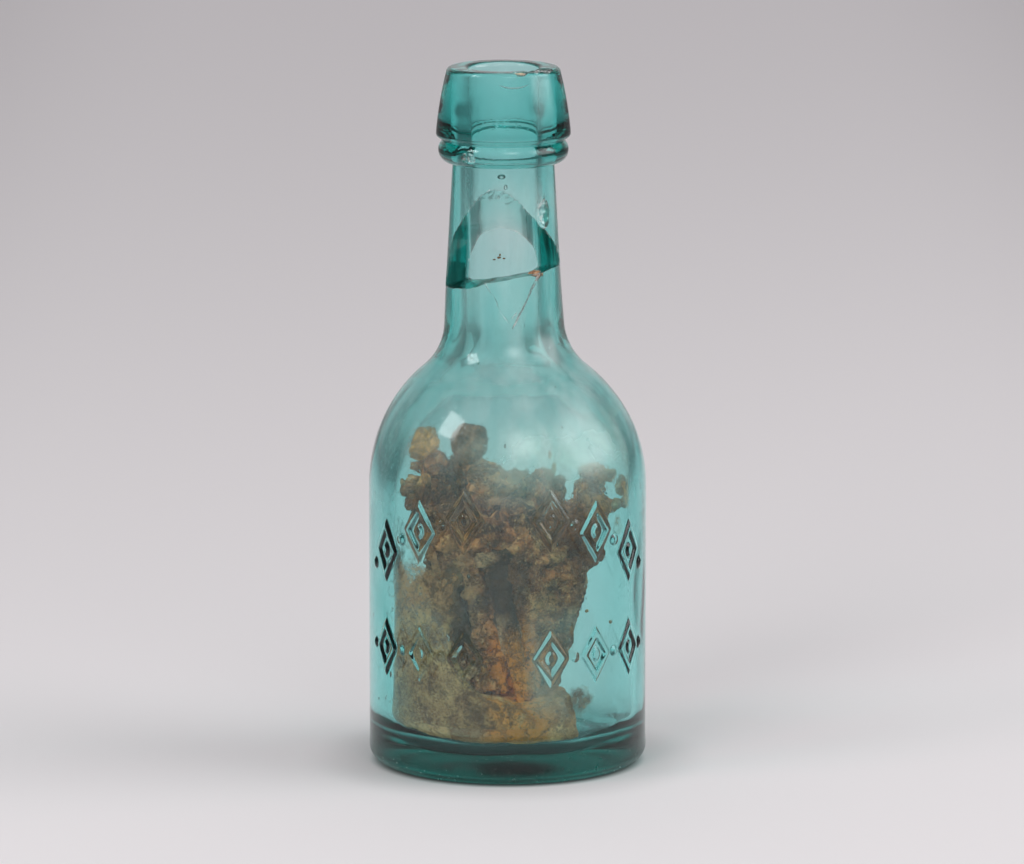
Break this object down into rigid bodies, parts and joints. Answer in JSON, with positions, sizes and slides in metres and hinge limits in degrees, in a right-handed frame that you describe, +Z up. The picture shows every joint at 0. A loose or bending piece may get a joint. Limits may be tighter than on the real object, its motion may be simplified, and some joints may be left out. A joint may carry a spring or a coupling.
{
  "type": "glass soda bottle",
  "caption": "Squat thick-walled glass bottle with a laid-on tapered lip, broken open at the neck, holding rusted nails set in dried silt.",
  "frame": {"origin": "on the bottle's axis, in the plane that its base rests on", "axes": "+Z up along the bottle's axis to its mouth, -Y towards the broken side of the neck"},
  "size_m": [0.0682, 0.0682, 0.172],
  "materials": {
    "aqua_glass": "gloss",
    "rusted_iron": "rusted",
    "rust_crust": "rough",
    "dried_silt": "matte"
  },
  "bodies": {
    "root": {"bottle_body": "aqua_glass", "applied_lip": "aqua_glass", "nail_left_tall": "rusted_iron", "nail_left_edge": "rusted_iron", "nail_knob_head": "rusted_iron", "nail_front_dark": "rusted_iron", "nail_centre": "rusted_iron", "nail_right_lean": "rusted_iron", "nail_front_low": "rusted_iron", "nail_rear_left": "rusted_iron", "nail_rear_centre": "rusted_iron", "nail_rear_right": "rusted_iron", "nail_middle": "rusted_iron", "nail_right_edge": "rusted_iron", "silt_cake": "dried_silt", "rust_crust": "rust_crust"}
  },
  "joints": []
}
